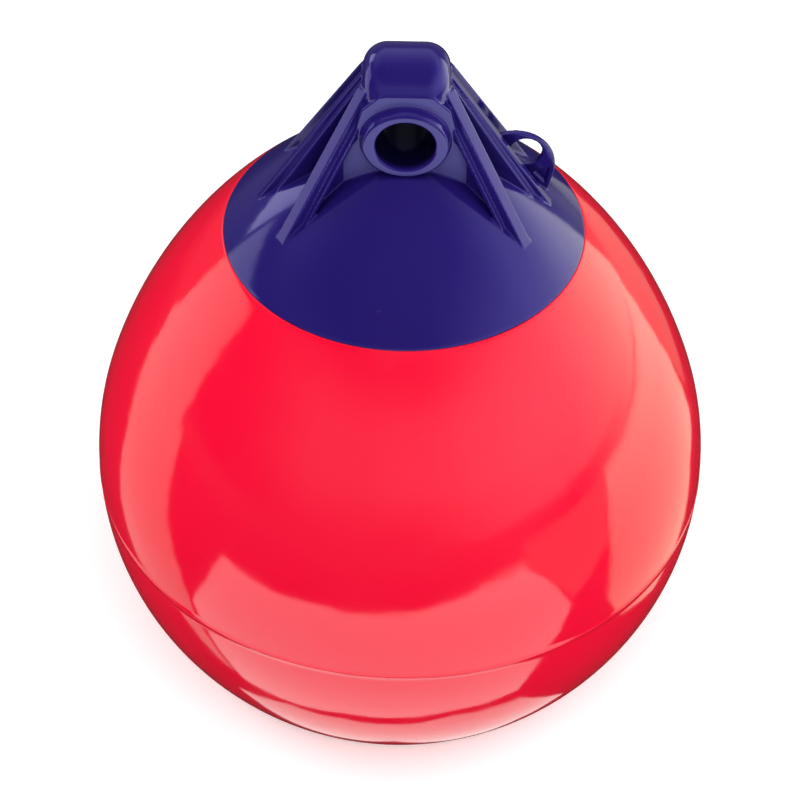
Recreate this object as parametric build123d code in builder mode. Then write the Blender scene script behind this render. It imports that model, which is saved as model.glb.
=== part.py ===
# Inflatable anchor buoy: a hollow vinyl body with a moulded rope-hold head
# bonded over its top, and a slotted air valve in the back of its shoulder.
# Millimetres. +Z runs up the axis, the eye's axis is Y, the small eyelet is on
# the +X side. The origin is on the axis at the waterline.

import math
import os

from build123d import *

os.makedirs("parts", exist_ok=True)

# Body: a ball drawn up into an ogive shoulder
body_radius = 140.0
draft = 53.0
ball_latitude = 18.0
shoulder_radius = 238.0
body_wall = 3.2
bond_band = 5.0
crown_rise = 23.0
seam_radius = 1.0
seam_stand = 0.35
joint_round = 0.6

# Head. Its heights are measured from a base level, which lies base_under_cap below
# the cap's surface where the collars' faces stand
skirt_radius = 78.0
skirt_thickness = 3.0
base_under_cap = 43.2076
tower_width = 36.2
tower_depth = 33.0
tower_height = 94.2
tower_round = 10.2
crest_radius = 17.3
web_crest = 82.1
web_crest_width = 22.6
web_top = 75.5
web_middle = 57.0
web_middle_width = 46.0
web_foot = 33.0
web_foot_width = 55.0

# Rope eye through the tower, with an oval collar on both faces
eye_height = 60.8
eye_radius = 12.3
eye_round = 0.9
collar_width = 35.2
collar_height = 31.2
collar_draft = 1.4
collar_stand = 5.0
collar_round = 0.9

# Fins on both sides of the tower: crest, and a wider base that steps away
# from it towards the foot, which is set in from the skirt's edge
fin_root = 9.8
fin_splay = 31.3
corner_fin_crest = 81.0
corner_fin_width = 6.0
corner_fin_inset = 18.0
corner_base_width = 10.4
corner_root_step = 6.2
corner_foot_step = 8.2
middle_fin_crest = 83.0
middle_fin_width = 4.0
middle_fin_inset = 15.3
middle_base_width = 9.0
middle_root_step = 2.5
middle_foot_step = 6.5

# Eyelet for a light line, beside one middle fin, set in from the skirt's edge
eyelet_side = 8.6
eyelet_thickness = 2.8
eyelet_inset = 27.0
eyelet_height = 36.2
eyelet_radius = 6.9
loop_middle_inset = 31.6
loop_height = 28.6
loop_radius = 17.3
loop_inset = 17.2
panel_depth = 0.8

# Air valve in the back of the shoulder
valve_angle = 35.0
valve_boss_radius = 13.0
valve_boss_depth = 12.0
valve_flange_radius = 9.6
valve_flange = 1.4
valve_body_radius = 7.2
valve_depth = 8.5
valve_head_radius = 5.6
valve_head = 2.4
valve_screw_radius = 3.6
valve_screw_length = 7.4
valve_slot_width = 1.6
valve_slot_depth = 1.3
air_hole_radius = 1.5
fit = 0.15

# Worked out from the sizes above
centre_z = body_radius - draft
lean = math.radians(ball_latitude)
set_back = shoulder_radius - body_radius
shoulder_x = -set_back * math.cos(lean)
shoulder_z = centre_z - set_back * math.sin(lean)


def angle_at(radius):
    """Angle of the shoulder's arc, in degrees, at a distance from the axis."""
    return math.degrees(math.acos((radius - shoulder_x) / shoulder_radius))


def on_shoulder(angle, depth=0.0):
    """Point of the shoulder's arc at an angle, a depth under its surface."""
    reach = shoulder_radius - depth
    turn = math.radians(angle)
    return (shoulder_x + reach * math.cos(turn), shoulder_z + reach * math.sin(turn))


skirt_angle = angle_at(skirt_radius)
skirt_edge = on_shoulder(skirt_angle)
skirt_z = skirt_edge[1]
base_z = on_shoulder(angle_at(tower_depth / 2 + collar_stand))[1] - base_under_cap
seat_edge = on_shoulder(skirt_angle, skirt_thickness)
crown_top = (0.0, skirt_z + crown_rise)
seat_drop = crown_top[1] - seat_edge[1]
crown_radius = (seat_edge[0] ** 2 + seat_drop**2) / (2 * seat_drop)
crown_angle = math.degrees(math.asin(seat_edge[0] / crown_radius))
crown_z = crown_top[1] - crown_radius

# Body: one closed vinyl shell, stepped in under the head's skirt, with a boss
# inside the wall that takes the valve.
valve_r, valve_z = on_shoulder(valve_angle)
valve_turn = math.radians(valve_angle)
valve_plane = Plane(
    origin=(0, valve_r, valve_z),
    x_dir=(1, 0, 0),
    z_dir=(0, math.cos(valve_turn), math.sin(valve_turn)),
)

with BuildPart() as body:
    with BuildSketch(Plane.XZ):
        with BuildLine():
            CenterArc((0, centre_z), body_radius, -90, 90 + ball_latitude)
            CenterArc((shoulder_x, shoulder_z), shoulder_radius, ball_latitude, skirt_angle - ball_latitude)
            Line(skirt_edge, seat_edge)
            CenterArc((0, crown_z), crown_radius, 90 - crown_angle, crown_angle)
            Line(crown_top, (0, centre_z - body_radius))
        make_face()
    revolve(axis=Axis.Z)
    # The shoulder's lip beside the skirt is rounded over
    lip = body.edges().filter_by(GeomType.CIRCLE).sort_by(lambda edge: abs(edge.radius - skirt_radius))
    fillet(lip[0], radius=joint_round)
    # Mould line round the widest part
    with BuildSketch(Plane.XZ):
        with Locations((body_radius + seam_stand - seam_radius, centre_z)):
            Circle(seam_radius)
    revolve(axis=Axis.Z)
    # The air space
    inner_crown = crown_radius - body_wall
    crown_start = math.radians(90 - crown_angle)
    crown_edge = (inner_crown * math.cos(crown_start), crown_z + inner_crown * math.sin(crown_start))
    with BuildSketch(Plane.XZ):
        with BuildLine():
            CenterArc((0, centre_z), body_radius - body_wall, -90, 90 + ball_latitude)
            CenterArc(
                (shoulder_x, shoulder_z),
                shoulder_radius - body_wall,
                ball_latitude,
                skirt_angle - bond_band - ball_latitude,
            )
            Line(on_shoulder(skirt_angle - bond_band, body_wall), crown_edge)
            CenterArc((0, crown_z), inner_crown, 90 - crown_angle, crown_angle)
            Line((0, crown_z + inner_crown), (0, centre_z - body_radius + body_wall))
        make_face()
    revolve(axis=Axis.Z, mode=Mode.SUBTRACT)
    # Boss for the valve, its two-step seat and the air hole
    with BuildSketch(valve_plane.offset(-valve_boss_depth)):
        Circle(valve_boss_radius)
    extrude(amount=valve_boss_depth - body_wall / 2)
    for radius, depth in ((valve_flange_radius, valve_flange), (valve_body_radius, valve_depth)):
        with BuildSketch(valve_plane.offset(1)):
            Circle(radius + fit)
        extrude(amount=-depth - 1, mode=Mode.SUBTRACT)
    with BuildSketch(valve_plane):
        Circle(air_hole_radius)
    extrude(amount=-valve_boss_depth - 1, mode=Mode.SUBTRACT)

body.part.label = "body"
export_step(body.part, "parts/body.step")

# Head: a skirted cap on the crown of the body, drawn up into a square tower
# with the rope eye through it, three fins on each side and a small eyelet.
cap_angle = angle_at(0)
eye_z = base_z + eye_height
loop_z = base_z + loop_height
loop_foot = skirt_radius - loop_inset
loop_out = skirt_radius - loop_middle_inset
eyelet_out = skirt_radius - eyelet_inset


def fin_plane(side, turn):
    """Upright plane of a fin, its origin under the fin's root, x outwards."""
    across = math.sin(math.radians(turn))
    along = side * math.cos(math.radians(turn))
    root_y = math.copysign(fin_root, turn) if turn else 0.0
    root = (side * tower_width / 2, root_y, 0)
    return Plane(origin=root, x_dir=(along, across, 0), z_dir=(across, -along, 0))


def fin_reach(turn, foot):
    """Length of a fin, in its own plane, from its root to a distance from the axis."""
    root_x = tower_width / 2
    root_y = fin_root if turn else 0.0
    splay = math.radians(abs(turn))
    ahead = root_x * math.cos(splay) + root_y * math.sin(splay)
    return math.sqrt(ahead**2 - root_x**2 - root_y**2 + foot**2) - ahead


def make_collar(side):
    """An oval collar on the front or back face, its outer rim rounded."""
    face = Plane(origin=(0, side * tower_depth / 2, eye_z), x_dir=(1, 0, 0), z_dir=(0, side, 0))
    with BuildPart() as collar:
        with BuildSketch(face.offset(-1)):
            Ellipse(collar_width / 2 + collar_draft, collar_height / 2 + collar_draft)
        with BuildSketch(face.offset(collar_stand)):
            Ellipse(collar_width / 2, collar_height / 2)
        loft()
        fillet(collar.faces().sort_by(Axis.Y)[0 if side < 0 else -1].edges(), radius=collar_round)
    return collar.part


with BuildPart() as head:
    # Tower: an arch over the eye's axis, its outer edges rounded over
    crest_centre = base_z + tower_height - crest_radius
    with BuildSketch(Plane.YZ):
        with BuildLine():
            CenterArc((0, crest_centre), crest_radius, 0, 180)
            Polyline(
                (-crest_radius, crest_centre),
                (-crest_radius, base_z + web_foot),
                (crest_radius, base_z + web_foot),
                (crest_radius, crest_centre),
            )
        make_face()
    extrude(amount=tower_width / 2, both=True)
    arches = head.edges().filter_by(lambda edge: abs(abs(edge.center().X) - tower_width / 2) < 0.01)
    fillet(arches.filter_by(lambda edge: edge.center().Z > base_z + web_foot + 1), radius=tower_round)
    with BuildSketch(Plane.XZ):
        with Locations((0, base_z)):
            Rectangle(2 * tower_width, 2 * tower_height, align=(Align.CENTER, Align.MIN))
    extrude(amount=tower_depth / 2, both=True, mode=Mode.INTERSECT)
    # Web plates that carry the eye, front and back, widening to the cap
    with BuildSketch(Plane.XZ):
        with BuildLine():
            Polyline(
                (-web_foot_width / 2, base_z + web_foot),
                (-web_middle_width / 2, base_z + web_middle),
                (-tower_width / 2, base_z + web_top),
                (-web_crest_width / 2, base_z + web_crest),
                (web_crest_width / 2, base_z + web_crest),
                (tower_width / 2, base_z + web_top),
                (web_middle_width / 2, base_z + web_middle),
                (web_foot_width / 2, base_z + web_foot),
                close=True,
            )
        make_face()
    extrude(amount=tower_depth / 2, both=True)
    # Cap over the crown of the body
    with BuildSketch(Plane.XZ):
        with BuildLine():
            CenterArc((shoulder_x, shoulder_z), shoulder_radius, skirt_angle, cap_angle - skirt_angle)
            Line(skirt_edge, seat_edge)
            CenterArc((0, crown_z), crown_radius, 90 - crown_angle, crown_angle)
            Line(crown_top, on_shoulder(cap_angle))
        make_face()
    revolve(axis=Axis.Z)
    rim = head.edges().filter_by(GeomType.CIRCLE).sort_by(lambda edge: abs(edge.radius - skirt_radius))
    fillet(rim[0], radius=joint_round)
    # Fins, each a plate with a narrower band along its crest
    corner = (corner_fin_crest, skirt_radius - corner_fin_inset)
    middle = (middle_fin_crest, skirt_radius - middle_fin_inset)
    corner_steps = ((corner_fin_width, 0, 0), (corner_base_width, corner_root_step, corner_foot_step))
    middle_steps = ((middle_fin_width, 0, 0), (middle_base_width, middle_root_step, middle_foot_step))
    for side in (-1, 1):
        for turn in (-fin_splay, 0, fin_splay):
            crest, foot = corner if turn else middle
            reach = fin_reach(turn, foot)
            foot_z = on_shoulder(angle_at(foot))[1]
            for width, root_step, foot_step in corner_steps if turn else middle_steps:
                with BuildSketch(fin_plane(side, turn)):
                    with BuildLine():
                        Polyline(
                            (-tower_width / 4, skirt_z),
                            (-tower_width / 4, base_z + crest - root_step),
                            (0, base_z + crest - root_step),
                            (reach, foot_z - foot_step),
                            (reach, skirt_z),
                            close=True,
                        )
                    make_face()
                extrude(amount=width / 2, both=True)
    # Eyelet beside the middle fin: a loop down to the cap, with a sunk panel
    foot_z = on_shoulder(angle_at(loop_foot))[1]
    with BuildSketch(Plane.XZ.offset(-eyelet_side)):
        with BuildLine():
            CenterArc((loop_out, loop_z), loop_radius, 0, 360)
            Polyline((loop_out, foot_z - 2), (loop_foot, foot_z - 2), (loop_foot, loop_z), close=True)
        make_hull()
    extrude(amount=eyelet_thickness / 2, both=True)
    with BuildSketch(Plane.XZ.offset(-eyelet_side + eyelet_thickness / 2)):
        with BuildLine():
            Polyline(
                (loop_foot - 6.2, loop_z - 3.4),
                (loop_foot + 0.8, loop_z - 0.4),
                (loop_foot - 1.0, loop_z - 9.2),
                close=True,
            )
        make_face()
    extrude(amount=-panel_depth, mode=Mode.SUBTRACT)
    for side in (-1, 1):
        add(make_collar(side))
    # Nothing reaches under the cap, and both eyes go right through
    with BuildSketch(Plane.XZ):
        with BuildLine():
            CenterArc((0, crown_z), crown_radius, 90 - crown_angle, crown_angle)
            Polyline(crown_top, (0, centre_z), (seat_edge[0], centre_z), seat_edge)
        make_face()
    revolve(axis=Axis.Z, mode=Mode.SUBTRACT)
    with BuildSketch(Plane.XZ.offset(-tower_depth / 2 - collar_stand)):
        with Locations((0, eye_z)):
            Circle(eye_radius)
    extrude(amount=tower_depth + 2 * collar_stand, mode=Mode.SUBTRACT)
    mouths = head.edges().filter_by(GeomType.CIRCLE).sort_by(lambda edge: abs(edge.radius - eye_radius))
    fillet(mouths[:2], radius=eye_round)
    with BuildSketch(Plane.XZ.offset(-eyelet_side)):
        with Locations((eyelet_out, base_z + eyelet_height)):
            Circle(eyelet_radius)
    extrude(amount=eyelet_thickness, both=True, mode=Mode.SUBTRACT)

head.part.label = "head"
export_step(head.part, "parts/head.step")

# Valve seat: a flanged bush moulded into the boss, bored for the screw.
with BuildPart() as valve_seat:
    for radius, depth in ((valve_flange_radius, valve_flange), (valve_body_radius, valve_depth)):
        with BuildSketch(valve_plane):
            Circle(radius)
        extrude(amount=-depth)
    for radius, depth in ((valve_head_radius, valve_head), (valve_screw_radius, valve_depth)):
        with BuildSketch(valve_plane):
            Circle(radius + fit)
        extrude(amount=-depth, mode=Mode.SUBTRACT)

valve_seat.part.label = "valve_seat"
export_step(valve_seat.part, "parts/valve_seat.step")

# Valve screw: a slotted plug whose head closes the seat flush.
with BuildPart() as valve_screw:
    for radius, depth in ((valve_head_radius, valve_head), (valve_screw_radius, valve_screw_length)):
        with BuildSketch(valve_plane):
            Circle(radius)
        extrude(amount=-depth)
    with BuildSketch(valve_plane):
        Rectangle(2 * valve_head_radius + 2, valve_slot_width)
    extrude(amount=-valve_slot_depth, mode=Mode.SUBTRACT)

valve_screw.part.label = "valve_screw"
export_step(valve_screw.part, "parts/valve_screw.step")
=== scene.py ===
# Inflatable anchor buoy: glossy vinyl body, moulded rope-hold head and air valve.
# Metres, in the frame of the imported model. The floor lies at the waterline, z = 0.

import math

import bmesh
import bpy
from mathutils import Matrix, Vector


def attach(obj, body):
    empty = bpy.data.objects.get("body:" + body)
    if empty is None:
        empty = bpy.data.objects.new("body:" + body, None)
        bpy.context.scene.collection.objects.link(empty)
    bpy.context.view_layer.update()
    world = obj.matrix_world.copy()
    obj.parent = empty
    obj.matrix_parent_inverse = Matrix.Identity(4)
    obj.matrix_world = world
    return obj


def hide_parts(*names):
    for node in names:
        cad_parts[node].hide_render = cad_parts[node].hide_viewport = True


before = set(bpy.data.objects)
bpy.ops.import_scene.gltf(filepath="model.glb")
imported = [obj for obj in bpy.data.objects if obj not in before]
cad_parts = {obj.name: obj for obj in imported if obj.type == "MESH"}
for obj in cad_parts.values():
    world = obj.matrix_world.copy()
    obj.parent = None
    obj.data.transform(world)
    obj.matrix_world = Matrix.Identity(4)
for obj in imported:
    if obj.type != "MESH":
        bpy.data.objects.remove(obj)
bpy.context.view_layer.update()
print("packed model loaded")

# Form that the body and the head share: a ball drawn up into an ogive shoulder
form = {
    "ballRadius": 0.140,
    "ballCentre": 0.087,
    "ballLatitude": 18.0,       # degrees, where the shoulder's arc takes over
    "shoulderRadius": 0.238,
    "skirtRadius": 0.078,       # edge of the head's skirt
    "seatDepth": 0.003,         # step in the body under the skirt
    "crownRise": 0.023,         # top of the hidden crown above the skirt's edge
    "edgeRound": 0.0006,
}
leanAngle = math.radians(form["ballLatitude"])
setBack = form["shoulderRadius"] - form["ballRadius"]
shoulderX = -setBack * math.cos(leanAngle)
shoulderZ = form["ballCentre"] - setBack * math.sin(leanAngle)


def shoulderAngle(radius):
    return math.acos((radius - shoulderX) / form["shoulderRadius"])


def shoulderPoint(angle, depth=0.0):
    reach = form["shoulderRadius"] - depth
    return Vector((shoulderX + reach * math.cos(angle), 0, shoulderZ + reach * math.sin(angle)))


skirtAngle = shoulderAngle(form["skirtRadius"])
skirtZ = shoulderPoint(skirtAngle).z
seatEdge = shoulderPoint(skirtAngle, form["seatDepth"])
crownTop = skirtZ + form["crownRise"]
crownDrop = crownTop - seatEdge.z
crownRadius = (seatEdge.x ** 2 + crownDrop ** 2) / (2 * crownDrop)
crownZ = crownTop - crownRadius
# what the rounding of an edge takes of the shoulder's arc
lipAngle = math.asin(form["edgeRound"] / (form["shoulderRadius"] - form["edgeRound"]))


# Modelling helpers

def newPiece(name, mesh, material):
    piece = bpy.data.objects.new(name, mesh)
    bpy.context.scene.collection.objects.link(piece)
    mesh.materials.append(material)
    for face in mesh.polygons:
        face.use_smooth = True
    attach(piece, "root")
    return piece


def meshFrom(name, bm):
    mesh = bpy.data.meshes.new(name)
    bm.to_mesh(mesh)
    bm.free()
    return mesh


def arcOn(bm, vert, centre, angle, steps):
    # carries one vertex along an arc in the XZ plane and returns the last one
    turned = bmesh.ops.spin(
        bm, geom=[vert], cent=centre, axis=(0, -1, 0), angle=angle, steps=steps, use_duplicate=False
    )
    return [part for part in turned["geom_last"] if isinstance(part, bmesh.types.BMVert)][0]


def lineOn(bm, vert, point):
    # carries one vertex straight to a point
    vert = bmesh.ops.extrude_vert_indiv(bm, verts=[vert])["verts"][0]
    vert.co = point
    return vert


weldReach = 1e-6        # vertices nearer than this are one


def turnRound(bm, steps):
    # full turn of everything about the Z axis, its poles closed
    bmesh.ops.spin(
        bm, geom=bm.verts[:] + bm.edges[:], cent=(0, 0, 0), axis=(0, 0, 1),
        angle=math.tau, steps=steps, use_merge=True, use_duplicate=False
    )
    bmesh.ops.remove_doubles(bm, verts=bm.verts, dist=weldReach)
    bmesh.ops.recalc_face_normals(bm, faces=bm.faces)


def linkCutter(name, bm):
    cutter = bpy.data.objects.new(name, meshFrom(name, bm))
    bpy.context.scene.collection.objects.link(cutter)
    return cutter


def cutAway(piece, cutter):
    cut = piece.modifiers.new(cutter.name, "BOOLEAN")
    cut.operation = "DIFFERENCE"
    cut.solver = "MANIFOLD"
    cut.object = cutter


def applyTo(piece, cutter):
    # mesh of the piece with its modifiers, which go, as the cutter does
    graph = bpy.context.evaluated_depsgraph_get()
    skin = bpy.data.meshes.new_from_object(piece.evaluated_get(graph))
    piece.modifiers.clear()
    bpy.data.objects.remove(cutter)
    return skin


# Shader helpers and the group that every vinyl and plastic shares

def addSocket(group, name, kind, inOut, value=None):
    socket = group.interface.new_socket(name=name, in_out=inOut, socket_type=kind)
    if value is not None:
        socket.default_value = value


def mathNode(nodes, links, operation, first, second, third=None):
    node = nodes.new("ShaderNodeMath")
    node.operation = operation
    for index, value in enumerate((first, second, third)):
        if value is None:
            continue
        if isinstance(value, (int, float)):
            node.inputs[index].default_value = value
        else:
            links.new(value, node.inputs[index])
    return node.outputs[0]


def rampNode(nodes, links, value, span, ends=(0, 1), smooth=True):
    # carries a value from one span to another and holds it past the ends
    node = nodes.new("ShaderNodeMapRange")
    node.interpolation_type = "SMOOTHSTEP" if smooth else "LINEAR"
    for socket, number in zip(("From Min", "From Max", "To Min", "To Max"), (*span, *ends)):
        node.inputs[socket].default_value = number
    links.new(value, node.inputs["Value"])
    return node.outputs["Result"]


skinMake = {
    "drift": (3.0, 0.5),        # detail and roughness of each noise
    "peel": (1.0, 0.4),
    "grain": (3.0, 0.6),
    "rub": (6.0, 0.7),
    "rubScale": 38.0,
    "driftSpan": (0.35, 0.65),
    "rubSpan": (0.35, 0.75),
    "grainShare": 0.12,         # height of the grain against the orange peel
}


def makeMouldedSkin(make):
    # colour drift, orange peel, fine grain and rub marks of moulded vinyl
    group = bpy.data.node_groups.new("mouldedSkin", "ShaderNodeTree")
    addSocket(group, "Colour", "NodeSocketColor", "INPUT", (0.5, 0.5, 0.5, 1))
    addSocket(group, "Thick Colour", "NodeSocketColor", "INPUT", (0.4, 0.4, 0.4, 1))
    addSocket(group, "Drift Scale", "NodeSocketFloat", "INPUT", 9.0)
    addSocket(group, "Drift Amount", "NodeSocketFloat", "INPUT", 0.5)
    addSocket(group, "Peel Scale", "NodeSocketFloat", "INPUT", 160.0)
    addSocket(group, "Grain Scale", "NodeSocketFloat", "INPUT", 900.0)
    addSocket(group, "Low Roughness", "NodeSocketFloat", "INPUT", 0.1)
    addSocket(group, "High Roughness", "NodeSocketFloat", "INPUT", 0.2)
    addSocket(group, "Colour", "NodeSocketColor", "OUTPUT")
    addSocket(group, "Roughness", "NodeSocketFloat", "OUTPUT")
    addSocket(group, "Height", "NodeSocketFloat", "OUTPUT")
    nodes, links = group.nodes, group.links
    given = nodes.new("NodeGroupInput")
    result = nodes.new("NodeGroupOutput")
    place = nodes.new("ShaderNodeTexCoord")

    def noise(kind, scale):
        node = nodes.new("ShaderNodeTexNoise")
        node.inputs["Detail"].default_value, node.inputs["Roughness"].default_value = make[kind]
        links.new(place.outputs["Object"], node.inputs["Vector"])
        if isinstance(scale, float):
            node.inputs["Scale"].default_value = scale
        else:
            links.new(scale, node.inputs["Scale"])
        return node.outputs["Fac"]

    drift = noise("drift", given.outputs["Drift Scale"])
    peel = noise("peel", given.outputs["Peel Scale"])
    grain = noise("grain", given.outputs["Grain Scale"])
    rub = noise("rub", make["rubScale"])
    spread = rampNode(nodes, links, drift, make["driftSpan"], smooth=False)
    amount = mathNode(nodes, links, "MULTIPLY", spread, given.outputs["Drift Amount"])
    blend = nodes.new("ShaderNodeMix")
    blend.data_type = "RGBA"
    links.new(amount, blend.inputs["Factor"])
    links.new(given.outputs["Colour"], blend.inputs["A"])
    links.new(given.outputs["Thick Colour"], blend.inputs["B"])
    links.new(blend.outputs["Result"], result.inputs["Colour"])
    rough = nodes.new("ShaderNodeMapRange")
    rough.inputs["From Min"].default_value, rough.inputs["From Max"].default_value = make["rubSpan"]
    links.new(rub, rough.inputs["Value"])
    links.new(given.outputs["Low Roughness"], rough.inputs["To Min"])
    links.new(given.outputs["High Roughness"], rough.inputs["To Max"])
    links.new(rough.outputs["Result"], result.inputs["Roughness"])
    fine = mathNode(nodes, links, "MULTIPLY", grain, make["grainShare"])
    links.new(mathNode(nodes, links, "ADD", peel, fine), result.inputs["Height"])
    return group


mouldedSkin = makeMouldedSkin(skinMake)


def skinMaterial(name, look):
    # Principled material of one vinyl or plastic, dressed by the shared skin group
    material = bpy.data.materials.new(name)
    material.use_nodes = True
    nodes, links = material.node_tree.nodes, material.node_tree.links
    shader = nodes["Principled BSDF"]
    skin = nodes.new("ShaderNodeGroup")
    skin.node_tree = mouldedSkin
    for socket, value in look["skin"].items():
        skin.inputs[socket].default_value = value
    bump = nodes.new("ShaderNodeBump")
    bump.inputs["Strength"].default_value = look["bumpStrength"]
    bump.inputs["Distance"].default_value = look["bumpDistance"]
    links.new(skin.outputs["Colour"], shader.inputs["Base Color"])
    links.new(skin.outputs["Roughness"], shader.inputs["Roughness"])
    links.new(skin.outputs["Height"], bump.inputs["Height"])
    links.new(bump.outputs["Normal"], shader.inputs["Normal"])
    shader.inputs["IOR"].default_value = look["ior"]
    shader.inputs["Specular IOR Level"].default_value = look["glossLevel"]
    shader.inputs["Specular Tint"].default_value = look["glossTint"]
    return material


redVinylLook = {
    "skin": {
        "Colour": (0.93, 0.003, 0.036, 1),
        "Thick Colour": (0.89, 0.0022, 0.03, 1),
        "Drift Scale": 7.0,
        "Drift Amount": 0.5,
        "Peel Scale": 95.0,
        "Grain Scale": 800.0,
        "Low Roughness": 0.07,
        "High Roughness": 0.15,
    },
    "bumpStrength": 0.12,
    "bumpDistance": 0.0008,
    "ior": 1.5,
    "glossLevel": 0.5,
    "glossTint": (1, 1, 1, 1),
}
blueVinylLook = {
    "skin": {
        "Colour": (0.0185, 0.009, 0.145, 1),
        "Thick Colour": (0.0155, 0.008, 0.125, 1),
        "Drift Scale": 16.0,
        "Drift Amount": 0.6,
        "Peel Scale": 150.0,
        "Grain Scale": 1100.0,
        "Low Roughness": 0.07,
        "High Roughness": 0.13,
    },
    "bumpStrength": 0.05,
    "bumpDistance": 0.0006,
    "ior": 1.5,
    "glossLevel": 0.8,
    "glossTint": (0.42, 0.4, 1.0, 1),
    # painted sheen: a paler colour on the faces that look along Y, and a rougher finish there
    "paintedSheenColour": (0.07, 0.064, 0.245, 1),
    "matteRoughness": 0.42,
    "sheenFacing": (0.955, 0.985),      # how squarely a face looks along Y
    "sheenDepth": (0.0150, 0.0158),     # distance from the middle plane where it starts
    "sheenTop": (0.3056, 0.3042),       # height where it ends, under the tower's brow
    "sheenScale": 60.0,
    "sheenDetail": 4.0,
    "sheenPatch": (0.0, 0.5),
    # painted shade inside the eye's bore, its gloss turned down there too
    "eyeZ": 0.28284,
    "eyeReach": (0.0131, 0.0124),       # distance from the eye's axis where it darkens
    "eyeDepth": (0.0212, 0.0175),
    "eyeShadeColour": (0.002, 0.002, 0.02, 1),
    "eyeGloss": 0.04,
    # painted shade in the corners, where the occlusion node finds other faces close
    "cornerSamples": 8,
    "cornerReach": 0.02,
    "cornerShade": (0.8, 0.3),
    "cornerShadeColour": (0.006, 0.003, 0.062, 1),
}
valvePlasticLook = {
    "skin": {
        "Colour": (0.024, 0.014, 0.155, 1),
        "Thick Colour": (0.018, 0.011, 0.125, 1),
        "Drift Scale": 60.0,
        "Drift Amount": 0.5,
        "Peel Scale": 500.0,
        "Grain Scale": 2600.0,
        "Low Roughness": 0.2,
        "High Roughness": 0.34,
    },
    "bumpStrength": 0.2,
    "bumpDistance": 0.0003,
    "ior": 1.5,
    "glossLevel": 0.6,
    "glossTint": (0.6, 0.58, 1.0, 1),
}
screwPlasticLook = {
    "skin": {
        "Colour": (0.028, 0.028, 0.032, 1),
        "Thick Colour": (0.02, 0.02, 0.024, 1),
        "Drift Scale": 80.0,
        "Drift Amount": 0.5,
        "Peel Scale": 600.0,
        "Grain Scale": 3000.0,
        "Low Roughness": 0.24,
        "High Roughness": 0.4,
    },
    "bumpStrength": 0.25,
    "bumpDistance": 0.0003,
    "ior": 1.5,
    "glossLevel": 0.5,
    "glossTint": (1, 1, 1, 1),
}


def dressHead(material, look):
    # painted sheen: a paler colour in patches on the upright front and back faces, with a rougher
    # finish there; painted shade inside the eye and in the corners between the fins
    nodes, links = material.node_tree.nodes, material.node_tree.links
    shader = nodes["Principled BSDF"]
    skinColour = shader.inputs["Base Color"].links[0].from_socket
    skinRough = shader.inputs["Roughness"].links[0].from_socket
    place = nodes.new("ShaderNodeTexCoord")
    spot = nodes.new("ShaderNodeSeparateXYZ")
    links.new(place.outputs["Object"], spot.inputs["Vector"])
    facing = nodes.new("ShaderNodeSeparateXYZ")
    links.new(place.outputs["Normal"], facing.inputs["Vector"])

    def ramp(value, span):
        return rampNode(nodes, links, value, span)

    def combine(operation, first, second, third=None):
        return mathNode(nodes, links, operation, first, second, third)

    def blend(kind, amount, first, second):
        node = nodes.new("ShaderNodeMix")
        node.data_type = kind
        picked = [socket for socket in node.inputs if socket.enabled]
        links.new(amount, picked[0])
        if isinstance(first, float):
            picked[-2].default_value = first
        else:
            links.new(first, picked[-2])
        picked[-1].default_value = second
        return [socket for socket in node.outputs if socket.enabled][0]

    # painted sheen on the upright faces that look along Y, in patches, their finish rougher
    depth = combine("ABSOLUTE", spot.outputs["Y"], None)
    turned = combine("ABSOLUTE", facing.outputs["Y"], None)
    upright = combine("MULTIPLY", ramp(turned, look["sheenFacing"]), ramp(depth, look["sheenDepth"]))
    upright = combine("MULTIPLY", upright, ramp(spot.outputs["Z"], look["sheenTop"]))
    patchy = nodes.new("ShaderNodeTexNoise")
    patchy.inputs["Scale"].default_value = look["sheenScale"]
    patchy.inputs["Detail"].default_value = look["sheenDetail"]
    links.new(place.outputs["Object"], patchy.inputs["Vector"])
    sheenAndMatte = combine("MULTIPLY", upright, ramp(patchy.outputs["Fac"], look["sheenPatch"]))
    # painted shade inside the eye's bore: a darker colour and less gloss
    rise = combine("SUBTRACT", spot.outputs["Z"], look["eyeZ"])
    square = combine("MULTIPLY_ADD", spot.outputs["X"], spot.outputs["X"], combine("MULTIPLY", rise, rise))
    reach = combine("SQRT", square, None)
    shadeInEye = combine("MULTIPLY", ramp(reach, look["eyeReach"]), ramp(depth, look["eyeDepth"]))
    # painted shade: colour darkened in the corners that the occlusion node finds
    corner = nodes.new("ShaderNodeAmbientOcclusion")
    corner.samples = look["cornerSamples"]
    corner.only_local = True
    corner.inputs["Distance"].default_value = look["cornerReach"]
    shade = ramp(corner.outputs["AO"], look["cornerShade"])
    colour = blend("RGBA", sheenAndMatte, skinColour, look["paintedSheenColour"])
    colour = blend("RGBA", shade, colour, look["cornerShadeColour"])
    colour = blend("RGBA", shadeInEye, colour, look["eyeShadeColour"])
    roughness = blend("FLOAT", sheenAndMatte, skinRough, look["matteRoughness"])
    gloss = blend("FLOAT", shadeInEye, look["glossLevel"], look["eyeGloss"])
    links.new(colour, shader.inputs["Base Color"])
    links.new(roughness, shader.inputs["Roughness"])
    links.new(gloss, shader.inputs["Specular IOR Level"])


redVinyl = skinMaterial("redVinyl", redVinylLook)
blueVinyl = skinMaterial("blueVinyl", blueVinylLook)
dressHead(blueVinyl, blueVinylLook)
valvePlastic = skinMaterial("valvePlastic", valvePlasticLook)
screwPlastic = skinMaterial("screwPlastic", screwPlasticLook)
print("materials made")

# Valve: the stepped recess in the back of the shoulder that its flanged seat fills
valveMake = {
    "angle": 35.0,              # degrees, its place on the shoulder's arc
    "flangeRadius": 0.00975,    # each radius has the seat's clearance in it
    "flangeDepth": 0.0014,
    "seatRadius": 0.00735,
    "seatDepth": 0.0085,
    "clear": 0.002,             # how far outside the shoulder the cut begins
    "rounds": 64,
    "sharpAngle": 60.0,         # degrees, steeper edges stay crisp
}


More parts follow.
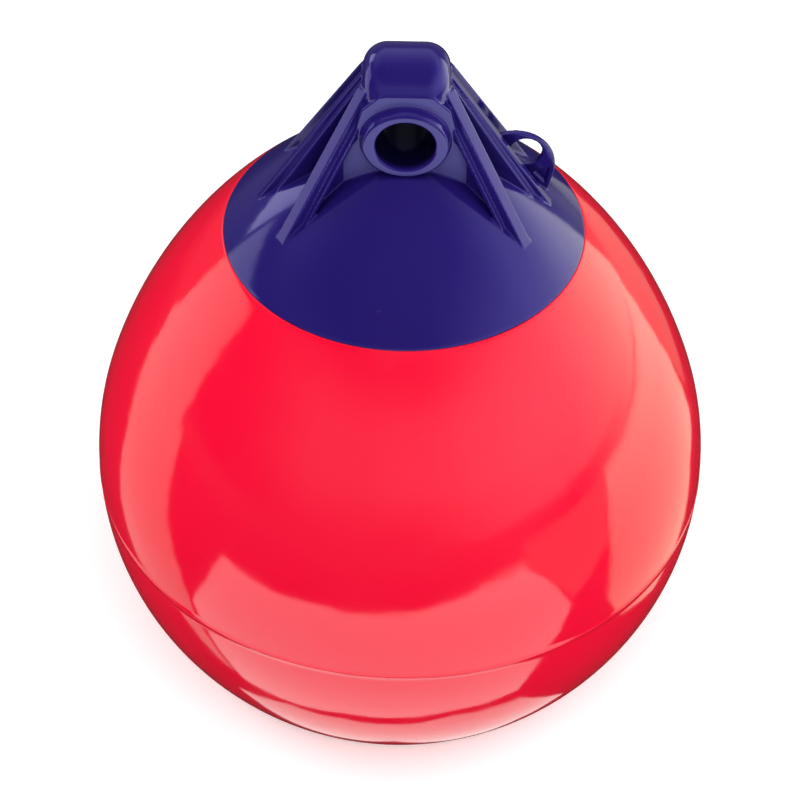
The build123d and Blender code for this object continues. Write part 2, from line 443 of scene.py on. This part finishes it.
def makeRecess(make):
    bm = bmesh.new()
    vert = bm.verts.new((0, 0, -make["seatDepth"]))
    corners = (
        (make["seatRadius"], -make["seatDepth"]),
        (make["seatRadius"], -make["flangeDepth"]),
        (make["flangeRadius"], -make["flangeDepth"]),
        (make["flangeRadius"], make["clear"]),
        (0, make["clear"]),
    )
    for radius, height in corners:
        vert = lineOn(bm, vert, (radius, 0, height))
    turnRound(bm, make["rounds"])
    tilt = math.radians(make["angle"])
    spot = shoulderPoint(tilt)
    turn = Vector((0, math.cos(tilt), math.sin(tilt))).to_track_quat("Z", "Y").to_matrix().to_4x4()
    bmesh.ops.transform(bm, matrix=Matrix.Translation((0, spot.x, spot.z)) @ turn, verts=bm.verts)
    return linkCutter("recess", bm)


# Body: one smooth turned shell with its mould line and the rounded lip at the skirt
bodyMake = {
    "rounds": 224,
    "ballSteps": 84,
    "mouldLineSteps": 8,
    "overLineSteps": 16,        # from the mould line up to the shoulder's arc
    "shoulderSteps": 56,
    "lipSteps": 5,
    "crownSteps": 10,
    "mouldLineRadius": 0.0006,
    "mouldLineStand": 0.00014,
}


def makeBody(make):
    bm = bmesh.new()
    ballRadius, centre = form["ballRadius"], Vector((0, 0, form["ballCentre"]))
    ridge = make["mouldLineRadius"]
    ridgeCentre = ballRadius + make["mouldLineStand"] - ridge
    half = math.acos((ballRadius ** 2 + ridgeCentre ** 2 - ridge ** 2) / (2 * ballRadius * ridgeCentre))
    ridgeTurn = math.asin(ballRadius * math.sin(half) / ridge)
    vert = bm.verts.new((0, 0, centre.z - ballRadius))
    vert = arcOn(bm, vert, centre, math.pi / 2 - half, make["ballSteps"])
    vert = arcOn(bm, vert, (ridgeCentre, 0, centre.z), 2 * ridgeTurn, make["mouldLineSteps"])
    vert = arcOn(bm, vert, centre, leanAngle - half, make["overLineSteps"])
    shoulderTurn = skirtAngle - lipAngle - leanAngle
    vert = arcOn(bm, vert, (shoulderX, 0, shoulderZ), shoulderTurn, make["shoulderSteps"])
    corner = shoulderPoint(skirtAngle - lipAngle, form["edgeRound"])
    vert = arcOn(bm, vert, corner, math.pi / 2 + lipAngle, make["lipSteps"])
    vert = lineOn(bm, vert, seatEdge)
    arcOn(bm, vert, (0, 0, crownZ), math.asin(seatEdge.x / crownRadius), make["crownSteps"])
    turnRound(bm, make["rounds"])
    mesh = meshFrom("vinylBody", bm)
    piece = newPiece("vinylBody", mesh, redVinyl)
    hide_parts("body")
    recess = makeRecess(valveMake)
    cutAway(piece, recess)
    skin = applyTo(piece, recess)
    bm = bmesh.new()
    bm.from_mesh(skin)
    for edge in bm.edges:
        edge.smooth = edge.calc_face_angle(0) < math.radians(valveMake["sharpAngle"])
    bm.to_mesh(mesh)
    bm.free()
    bpy.data.meshes.remove(skin)
    return piece


vinylBody = makeBody(bodyMake)
print("body", len(vinylBody.data.polygons), "faces")

# Head: the moulded form remade as one soft-edged skin, its cap set back on the exact arc
headMake = {
    "towerHalf": 0.0181,
    "plateFront": 0.0165,       # front of the plates that carry the eye
    "finRoot": 0.0098,
    "finSplay": 31.3,           # degrees
    "flangeHalf": 0.0052,       # half width of a corner fin's flange
    "flangeTop": 0.0748,        # its top at the tower, over the skirt's edge
    "flangeFall": 1.68,         # how steeply it runs down
    "flangeDepth": 0.0042,
    "flangeOver": 0.0003,       # how far the undercut runs out past the flange's side
    "stemHalf": 0.0019,         # half thickness of the fin under its flange
    "stemReach": 0.0272,
    "stemSteps": 14,
    "plateGap": 0.00003,        # kept between the undercut and the plates
    "leastCut": 0.00005,        # height of the undercut where it runs out
    "cutRadius": 0.0685,        # the skirt outside this is turned, not remeshed
    "cutMargin": 0.003,         # how far below that the form still goes into the remesh
    "weld": 2e-6,
    "crownReach": 0.0004,       # faces this near the crown belong to the underside
    "voxel": 0.00038,
    "softFactor": 0.5,
    "softPasses": 5,
    "kept": 0.17,               # share of the skin's faces kept, the flat ones joined
    "snapReach": 0.0007,        # skin this near the cap's arc is set back on it,
    "snapFrom": 0.012,          # but no nearer the axis than this,
    "snapFacing": 0.985,        # nor where it faces another way
    "skirtRings": 10,
    "lipSteps": 4,
    "crownRings": (0.055, 0.03, 0.008),
}


def shoulderMiss(point):
    # how far a point stands off the shoulder's surface, and the nearest point there
    radius = math.hypot(point.x, point.y)
    away = Vector((radius - shoulderX, point.z - shoulderZ))
    miss = away.length - form["shoulderRadius"]
    near = away.normalized() * form["shoulderRadius"]
    return miss, near.x + shoulderX, near.y + shoulderZ, radius


def makeUndercut(make):
    # four narrow wedges to take from under the inner side of the corner fins' flanges
    splay = math.radians(make["finSplay"])
    bm = bmesh.new()
    for side, face in ((-1, -1), (-1, 1), (1, -1), (1, 1)):
        verts, edges = [], []
        for step in range(make["stemSteps"] + 1):
            ring = []
            for off in (make["stemHalf"], make["flangeHalf"] + make["flangeOver"]):
                clear = make["plateFront"] + make["plateGap"] - make["finRoot"] - off * math.cos(splay)
                start = clear / math.sin(splay)
                along = start + (make["stemReach"] - start) * step / make["stemSteps"]
                x = make["towerHalf"] + along * math.cos(splay) - off * math.sin(splay)
                y = make["finRoot"] + along * math.sin(splay) + off * math.cos(splay)
                low = shoulderPoint(shoulderAngle(math.hypot(x, y))).z
                high = skirtZ + make["flangeTop"] - make["flangeDepth"] - make["flangeFall"] * along
                high = max(high, low + make["leastCut"])
                pair = [Vector((side * x, face * y, low)), Vector((side * x, face * y, high))]
                ring += pair if not ring else reversed(pair)
            if verts:
                grown = bmesh.ops.extrude_edge_only(bm, edges=edges)["geom"]
                edges = [part for part in grown if isinstance(part, bmesh.types.BMEdge)]
                fresh = [part for part in grown if isinstance(part, bmesh.types.BMVert)]
                verts = [min(fresh, key=lambda vert: (vert.co - old.co).length) for old in verts]
                for vert, spot in zip(verts, ring):
                    vert.co = spot
            else:
                verts = [bm.verts.new(spot) for spot in ring]
                for index in range(len(verts)):
                    bmesh.ops.contextual_create(bm, geom=[verts[index - 1], verts[index]])
                edges = [edge for edge in bm.edges if edge.is_wire]
                first = edges
        bmesh.ops.contextual_create(bm, geom=first)
        bmesh.ops.contextual_create(bm, geom=edges)
    bmesh.ops.triangulate(bm, faces=bm.faces)
    bmesh.ops.recalc_face_normals(bm, faces=bm.faces)
    return linkCutter("undercut", bm)


def makeHead(make):
    cutZ = shoulderPoint(shoulderAngle(make["cutRadius"])).z
    bm = bmesh.new()
    bm.from_mesh(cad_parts["head"].data)
    bmesh.ops.remove_doubles(bm, verts=bm.verts, dist=make["weld"])
    bmesh.ops.bisect_plane(
        bm, geom=bm.verts[:] + bm.edges[:] + bm.faces[:], plane_co=(0, 0, cutZ - make["cutMargin"]),
        plane_no=(0, 0, 1), clear_inner=True
    )
    underside = []
    for face in bm.faces:
        spot = face.calc_center_median()
        reach = (spot - Vector((0, 0, crownZ))).length
        if reach < crownRadius + make["crownReach"] and face.normal.z < 0:
            underside.append(face)
    bmesh.ops.delete(bm, geom=underside, context="FACES")
    rim = [edge for edge in bm.edges if edge.is_boundary]
    bmesh.ops.contextual_create(bm, geom=rim)
    bmesh.ops.triangulate(bm, faces=bm.faces)
    bmesh.ops.recalc_face_normals(bm, faces=bm.faces)
    mesh = meshFrom("ropeHold", bm)
    piece = newPiece("ropeHold", mesh, blueVinyl)
    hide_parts("head")
    cutter = makeUndercut(make)
    cutAway(piece, cutter)
    remesh = piece.modifiers.new("skin", "REMESH")
    remesh.mode = "VOXEL"
    remesh.voxel_size = make["voxel"]
    soften = piece.modifiers.new("soften", "SMOOTH")
    soften.factor = make["softFactor"]
    soften.iterations = make["softPasses"]
    thin = piece.modifiers.new("thin", "DECIMATE")
    thin.ratio = make["kept"]
    skin = applyTo(piece, cutter)
    bm = bmesh.new()
    bm.from_mesh(skin)
    bmesh.ops.bisect_plane(
        bm, geom=bm.verts[:] + bm.edges[:] + bm.faces[:], plane_co=(0, 0, cutZ),
        plane_no=(0, 0, 1), clear_inner=True
    )
    bm.normal_update()
    for vert in bm.verts:
        miss, nearR, nearZ, radius = shoulderMiss(vert.co)
        if radius < make["snapFrom"] or abs(miss) > make["snapReach"]:
            continue
        across = (nearR - shoulderX) / radius
        outward = Vector((vert.co.x * across, vert.co.y * across, nearZ - shoulderZ)).normalized()
        if vert.normal.dot(outward) < make["snapFacing"] and not vert.is_boundary:
            continue
        vert.co.x *= nearR / radius
        vert.co.y *= nearR / radius
        vert.co.z = nearZ
    edge = [part for part in bm.edges if part.is_boundary]
    for vert in {vert for part in edge for vert in part.verts}:
        radius = math.hypot(vert.co.x, vert.co.y)
        vert.co.x *= make["cutRadius"] / radius
        vert.co.y *= make["cutRadius"] / radius
        vert.co.z = cutZ
    # the skirt is grown from that round edge, ring by ring, and turned in under the cap
    rings = []
    fromAngle = shoulderAngle(make["cutRadius"])
    toAngle = skirtAngle + lipAngle
    for step in range(1, make["skirtRings"] + 1):
        rings.append(shoulderPoint(fromAngle + (toAngle - fromAngle) * step / make["skirtRings"]))
    corner = shoulderPoint(toAngle, form["edgeRound"])
    for step in range(1, make["lipSteps"] + 1):
        turn = toAngle - (math.pi / 2 + lipAngle) * step / make["lipSteps"]
        rings.append(corner + Vector((math.cos(turn), 0, math.sin(turn))) * form["edgeRound"])
    rings.append(seatEdge)
    for radius in make["crownRings"]:
        rings.append(Vector((radius, 0, crownZ + math.sqrt(crownRadius ** 2 - radius ** 2))))
    last = Vector((make["cutRadius"], 0, cutZ))
    for ring in rings:
        grown = bmesh.ops.extrude_edge_only(bm, edges=edge)["geom"]
        verts = [part for part in grown if isinstance(part, bmesh.types.BMVert)]
        edge = [part for part in grown if isinstance(part, bmesh.types.BMEdge)]
        bmesh.ops.scale(bm, vec=(ring.x / last.x, ring.x / last.x, 1), verts=verts)
        bmesh.ops.translate(bm, vec=(0, 0, ring.z - last.z), verts=verts)
        last = ring
    bmesh.ops.contextual_create(bm, geom=edge)
    bmesh.ops.recalc_face_normals(bm, faces=bm.faces)
    bm.to_mesh(mesh)
    bm.free()
    for face in mesh.polygons:
        face.use_smooth = True
    bpy.data.meshes.remove(skin)
    return piece


ropeHold = makeHead(headMake)
print("head", len(ropeHold.data.polygons), "faces")

# Valve: its two solids stay as they are and get their own plastics
for nodeName, plastic in (("valve_seat", valvePlastic), ("valve_screw", screwPlastic)):
    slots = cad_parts[nodeName].data.materials
    slots.clear()
    slots.append(plastic)
print("valve dressed")

# Studio: a pale floor at the waterline, soft lamps that give the light, and glowing
# cards on the floor and at the sides that only the gloss sees
studio = {
    "floorSize": 9.0,
    "floorShade": 0.8,
    "floorRough": 0.9,
    "floorShine": 0.1,
    "floorVeil": (0.42, 0.85),  # lifts the floor to white for the camera, its shadow kept
    "veilReach": (0.6, 2.4),    # distances from the origin between which the veil grows
    "glossReach": (0.7, 1.6),   # and between which the gloss sees more of the floor
    "lampAim": 0.12,            # height that the lamps point at
    "cardSteps": 24,            # of the side cards' arcs
    "cardHeight": 0.0005,       # of the floor cards over the floor
    "cardReach": (0.14, 0.9),   # distances between which the floor cards' glow grows
    "lamps": {                  # toward: azimuth from -Y and elevation, in degrees
        "overhead": {"toward": (10, 64), "distance": 1.7, "size": (1.3, 1.3), "power": 15.0},
        "leftLamp": {"toward": (-112, 16), "distance": 1.6, "size": (0.8, 0.9), "power": 12.5},
        "rightLamp": {"toward": (106, 24), "distance": 1.6, "size": (1.1, 1.1), "power": 11.0},
        "frontLamp": {"toward": (14, 20), "distance": 2.4, "size": (1.8, 1.0), "power": 9.0},
    },
    "sideCards": {              # soft: shares that fade at the first azimuth, the last and the top
        "leftCard": {
            "azimuths": (-120, -88), "distance": 1.5, "foot": 0.0, "top": 0.8, "glow": 1.5,
            "soft": (0.03, 0.04, 0.12), "tint": 0.9,
        },
        "highLeftCard": {
            "azimuths": (-142, -121), "distance": 1.5, "foot": 0.5, "top": 1.25, "glow": 2.4,
            "soft": (0.1, 0.05, 0.3), "tint": 1.0,
        },
        "rightCard": {
            "azimuths": (62, 133), "distance": 1.5, "foot": 0.0, "top": 1.25, "glow": 2.9,
            "soft": (0.85, 0.03, 0.6), "tint": 0.75,
        },
        "backCard": {
            "azimuths": (133, 153), "distance": 1.6, "foot": 0.0, "top": 0.5, "glow": 0.5,
            "soft": (0.05, 0.6, 0.8), "tint": 0.75,
        },
    },
    "floorCards": {
        "frontCard": {
            "corners": [
                (-0.092, -0.118), (-0.192, -0.126), (-0.265, -0.183), (-0.43, -0.31), (-0.316, -0.345),
                (-0.21, -0.41), (-0.106, -0.45), (0, -0.48), (0.121, -0.545), (0.3, -0.62), (0.53, -0.64),
                (0.345, -0.337), (0.22, -0.19), (0.162, -0.17), (0.129, -0.162), (0.079, -0.137),
                (0.035, -0.148), (-0.03, -0.144),
            ],
            "glow": (1.7, 3.5),
            "tint": 0.96,
        },
        "nearCard": {
            "corners": [
                (-0.085, -0.103), (-0.062, -0.126), (-0.03, -0.136), (0.035, -0.14), (0.075, -0.127),
                (0.085, -0.09), (0.06, -0.1), (0, -0.116), (-0.05, -0.106),
            ],
            "glow": (1.2, 1.3),
            "tint": 0.96,
        },
        "leftWedge": {
            "corners": [
                (-0.1, -0.116), (-0.164, -0.095), (-0.176, -0.072), (-0.2, -0.034), (-0.248, 0.007),
                (-0.361, 0.076), (-0.633, 0.302), (-1.35, 0.83), (-1.5, -0.1), (-0.489, -0.106),
                (-0.247, -0.122),
            ],
            "glow": (0.9, 1.4),
            "tint": 0.88,
        },
        "rightWedge": {
            "corners": [
                (0.165, -0.09), (0.21, -0.125), (0.433, -0.18), (1.46, -0.34), (1.15, 0.98), (0.672, 0.477),
                (0.376, 0.228), (0.272, 0.137), (0.25, 0.068), (0.2, 0.013), (0.165, -0.043),
            ],
            "glow": (1.2, 2.9),
            "tint": 0.75,
        },
        "backWedge": {
            "corners": [(0.27, 0.16), (0.376, 0.235), (0.672, 0.485), (1.15, 0.99), (0.6, 1.36), (0.3, 0.5)],
            "glow": (0.25, 0.7),
            "tint": 0.75,
        },
        "sideWedge": {
            "corners": [
                (0.24, -0.2), (0.36, -0.345), (0.55, -0.63), (0.95, -1.1), (1.4, -0.5), (1.43, -0.35),
                (0.44, -0.19),
            ],
            "glow": (0.5, 0.6),
            "tint": 0.8,
        },
    },
}


# Room: even light on the object, and the glows that its gloss sees. A pair is where a
# glow comes or goes along one axis of the direction that is looked in.
roomMake = {
    "light": 0.43,
    "gloss": 0.03,
    "frontGlow": 0.5,
    "frontX": (-0.98, -0.5),
    "frontY": (0.35, -0.1),
    "frontTop": (0.4, 0.7),
    "frontFoot": (-0.02, 0.25),
    "footShare": 0.3,           # of the front glow, left at floor level
    "rightGlow": 0.9,
    "rightX": (0.1, 0.95),
    "rightY": (0.75, 0.3),
    "rightTop": (0.55, 0.98),
    "topGlow": 0.7,
    "topY": (-0.3, 0.7),
    "topZ": (0.4, 0.65),
    "backGlow": 0.15,
    "backY": (0.25, 0.7),
}


def reachFromOrigin(nodes, links):
    place = nodes.new("ShaderNodeTexCoord")
    reach = nodes.new("ShaderNodeVectorMath")
    reach.operation = "LENGTH"
    links.new(place.outputs["Object"], reach.inputs[0])
    return reach.outputs["Value"]


def makeFloor(make):
    bm = bmesh.new()
    bmesh.ops.create_grid(bm, x_segments=1, y_segments=1, size=make["floorSize"] / 2)
    mesh = meshFrom("studioFloor", bm)
    floor = bpy.data.objects.new("studioFloor", mesh)
    bpy.context.scene.collection.objects.link(floor)
    material = bpy.data.materials.new("studioFloor")
    material.use_nodes = True
    nodes, links = material.node_tree.nodes, material.node_tree.links
    shade = make["floorShade"]
    shader = nodes["Principled BSDF"]
    shader.inputs["Base Color"].default_value = (shade, shade, shade, 1)
    shader.inputs["Roughness"].default_value = make["floorRough"]
    shader.inputs["Specular IOR Level"].default_value = make["floorShine"]
    path = nodes.new("ShaderNodeLightPath")
    reach = reachFromOrigin(nodes, links)
    lift = rampNode(nodes, links, reach, make["veilReach"], make["floorVeil"], smooth=False)
    veil = nodes.new("ShaderNodeEmission")
    strength = mathNode(nodes, links, "MULTIPLY", path.outputs["Is Camera Ray"], lift)
    links.new(strength, veil.inputs["Strength"])
    lifted = nodes.new("ShaderNodeAddShader")
    links.new(shader.outputs["BSDF"], lifted.inputs[0])
    links.new(veil.outputs["Emission"], lifted.inputs[1])
    # far off, the gloss sees the floor as bright as the room behind it
    ends = (roomMake["gloss"], roomMake["backGlow"])
    dim = nodes.new("ShaderNodeEmission")
    links.new(rampNode(nodes, links, reach, make["glossReach"], ends, smooth=False), dim.inputs["Strength"])
    choose = nodes.new("ShaderNodeMixShader")
    links.new(path.outputs["Is Glossy Ray"], choose.inputs["Fac"])
    links.new(lifted.outputs["Shader"], choose.inputs[1])
    links.new(dim.outputs["Emission"], choose.inputs[2])
    links.new(choose.outputs["Shader"], nodes["Material Output"].inputs["Surface"])
    mesh.materials.append(material)


def wayTo(azimuth, elevation=0.0):
    # direction at an azimuth from -Y towards +X and an elevation, in degrees
    turn, rise = math.radians(azimuth), math.radians(elevation)
    return Vector((math.sin(turn) * math.cos(rise), -math.cos(turn) * math.cos(rise), math.sin(rise)))


def makeLamp(name, make):
    way = wayTo(*make["toward"])
    light = bpy.data.lights.new(name, "AREA")
    light.shape = "RECTANGLE"
    light.size, light.size_y = make["size"]
    light.energy = make["power"]
    lamp = bpy.data.objects.new(name, light)
    lamp.location = Vector((0, 0, studio["lampAim"])) + way * make["distance"]
    lamp.rotation_euler = (-way).to_track_quat("-Z", "Y").to_euler()
    lamp.visible_glossy = False
    bpy.context.scene.collection.objects.link(lamp)


def glowMaterial(name, tint):
    # a warm light: tint is the share of blue left in it
    material = bpy.data.materials.new(name)
    material.use_nodes = True
    nodes = material.node_tree.nodes
    nodes.remove(nodes["Principled BSDF"])
    glow = nodes.new("ShaderNodeEmission")
    glow.inputs["Color"].default_value = (1, 1, tint, 1)
    material.node_tree.links.new(glow.outputs["Emission"], nodes["Material Output"].inputs["Surface"])
    return material, glow


def glossOnly(name, bm, material):
    # a studio card that shows in the gloss and gives no light of its own
    mesh = meshFrom(name, bm)
    mesh.materials.append(material)
    card = bpy.data.objects.new(name, mesh)
    bpy.context.scene.collection.objects.link(card)
    card.visible_camera = False
    card.visible_diffuse = False
    card.visible_transmission = False
    card.visible_shadow = False


def makeSideCard(name, make):
    # upright card on an arc round the axis, fading out at its ends and its top edge
    first, last = (math.radians(azimuth) for azimuth in make["azimuths"])
    bm = bmesh.new()
    start = wayTo(make["azimuths"][0]) * make["distance"] + Vector((0, 0, make["foot"]))
    bmesh.ops.spin(
        bm, geom=[bm.verts.new(start)], cent=(0, 0, 0), axis=(0, 0, 1), angle=last - first,
        steps=studio["cardSteps"], use_duplicate=False
    )
    grown = bmesh.ops.extrude_edge_only(bm, edges=bm.edges[:])["geom"]
    top = [part for part in grown if isinstance(part, bmesh.types.BMVert)]
    bmesh.ops.translate(bm, vec=(0, 0, make["top"] - make["foot"]), verts=top)
    material, glow = glowMaterial(name, make["tint"])
    nodes, links = material.node_tree.nodes, material.node_tree.links
    place = nodes.new("ShaderNodeTexCoord")
    parts = nodes.new("ShaderNodeSeparateXYZ")
    links.new(place.outputs["Object"], parts.inputs["Vector"])
    backward = mathNode(nodes, links, "MULTIPLY", parts.outputs["Y"], -1.0)
    turn = mathNode(nodes, links, "ARCTAN2", parts.outputs["X"], backward)
    leftSoft, rightSoft, topSoft = make["soft"]
    edges = (
        (turn, (first, first + (last - first) * leftSoft)),
        (turn, (last, last - (last - first) * rightSoft)),
        (parts.outputs["Z"], (make["top"], make["top"] * (1 - topSoft))),
    )
    fade = 1.0
    for value, edge in edges:
        fade = mathNode(nodes, links, "MULTIPLY", rampNode(nodes, links, value, edge), fade)
    glow.inputs["Strength"].default_value = make["glow"]
    clear = nodes.new("ShaderNodeBsdfTransparent")
    mixed = nodes.new("ShaderNodeMixShader")
    links.new(fade, mixed.inputs["Fac"])
    links.new(clear.outputs["BSDF"], mixed.inputs[1])
    links.new(glow.outputs["Emission"], mixed.inputs[2])
    links.new(mixed.outputs["Shader"], nodes["Material Output"].inputs["Surface"])
    glossOnly(name, bm, material)


def makeFloorCard(name, make):
    # flat card just over the floor, its glow growing with the distance from the buoy
    bm = bmesh.new()
    first = vert = bm.verts.new((*make["corners"][0], studio["cardHeight"]))
    for corner in make["corners"][1:]:
        vert = lineOn(bm, vert, (*corner, studio["cardHeight"]))
    bmesh.ops.contextual_create(bm, geom=[vert, first])
    bmesh.ops.contextual_create(bm, geom=bm.edges[:])
    bmesh.ops.recalc_face_normals(bm, faces=bm.faces)
    bmesh.ops.triangulate(bm, faces=bm.faces)
    material, glow = glowMaterial(name, make["tint"])
    nodes, links = material.node_tree.nodes, material.node_tree.links
    reach = reachFromOrigin(nodes, links)
    grow = rampNode(nodes, links, reach, studio["cardReach"], make["glow"], smooth=False)
    links.new(grow, glow.inputs["Strength"])
    glossOnly(name, bm, material)


makeFloor(studio)
for lampName, lampMake in studio["lamps"].items():
    makeLamp(lampName, lampMake)
for cardName, cardMake in studio["sideCards"].items():
    makeSideCard(cardName, cardMake)
for cardName, cardMake in studio["floorCards"].items():
    makeFloorCard(cardName, cardMake)


def makeWorld(make):
    # even light on the object, a white backdrop for the camera, and for the gloss a dim
    # room that glows low in front, on the right, high up behind and faintly at the back
    world = bpy.data.worlds.new("studio")
    bpy.context.scene.world = world
    world.use_nodes = True
    nodes, links = world.node_tree.nodes, world.node_tree.links
    place = nodes.new("ShaderNodeTexCoord")
    parts = nodes.new("ShaderNodeSeparateXYZ")
    links.new(place.outputs["Generated"], parts.inputs["Vector"])
    x, y, z = (parts.outputs[axis] for axis in "XYZ")

    def ramp(value, span, start=0, end=1):
        return rampNode(nodes, links, value, span, (start, end))

    def combine(operation, first, second, third=None):
        return mathNode(nodes, links, operation, first, second, third)

    front = combine("MULTIPLY", ramp(x, make["frontX"], 0, make["frontGlow"]), ramp(y, make["frontY"]))
    foot = ramp(z, make["frontFoot"], make["footShare"], 1)
    low = combine("MULTIPLY", ramp(z, make["frontTop"], 1, 0), foot)
    right = combine("MULTIPLY", ramp(x, make["rightX"], 0, make["rightGlow"]), ramp(y, make["rightY"]))
    right = combine("MULTIPLY", right, ramp(z, make["rightTop"], 1, 0))
    glow = combine("MULTIPLY_ADD", front, low, right)
    behind = ramp(y, make["topY"], 0, make["topGlow"])
    top = combine("MULTIPLY_ADD", ramp(z, make["topZ"]), behind, make["gloss"])
    back = ramp(y, make["backY"], 0, make["backGlow"])
    gloss = combine("ADD", combine("ADD", glow, top), back)
    path = nodes.new("ShaderNodeLightPath")

    def choose(chance, first, second):
        node = nodes.new("ShaderNodeMix")
        links.new(chance, node.inputs["Factor"])
        for socket, value in zip(("A", "B"), (first, second)):
            if isinstance(value, float):
                node.inputs[socket].default_value = value
            else:
                links.new(value, node.inputs[socket])
        return node.outputs["Result"]

    plain = choose(path.outputs["Is Glossy Ray"], make["light"], gloss)
    seen = choose(path.outputs["Is Camera Ray"], plain, 1.0)
    soft = nodes["Background"]
    soft.inputs["Color"].default_value = (1, 1, 1, 1)
    links.new(seen, soft.inputs["Strength"])


makeWorld(roomMake)
bpy.context.scene.view_settings.view_transform = "Standard"
print("studio made")

# Camera at the photograph's angle
view = {
    "elevation": 46.0,
    "distance": 1.19,
    "lens": 114.3,
    "sensor": 36.0,
    "aimUp": 0.0203,            # over the ball's centre, in the picture
    "roll": 1.05,
}


def makeCamera(make):
    elevation = math.radians(make["elevation"])
    centre = Vector((0, 0, form["ballCentre"]))
    back = Vector((0, -math.cos(elevation), math.sin(elevation)))
    upward = Vector((0, math.sin(elevation), math.cos(elevation)))
    camera = bpy.data.cameras.new("photoCamera")
    camera.sensor_width = make["sensor"]
    camera.lens = make["lens"]
    eye = bpy.data.objects.new("photoCamera", camera)
    spot = centre + back * make["distance"]
    aim = centre + upward * make["aimUp"]
    turn = (aim - spot).to_track_quat("-Z", "Y").to_matrix().to_4x4()
    roll = Matrix.Rotation(math.radians(-make["roll"]), 4, (centre - spot).normalized())
    eye.matrix_world = Matrix.Translation(spot) @ roll @ turn
    bpy.context.scene.collection.objects.link(eye)
    bpy.context.scene.camera = eye


makeCamera(view)
print("camera set")
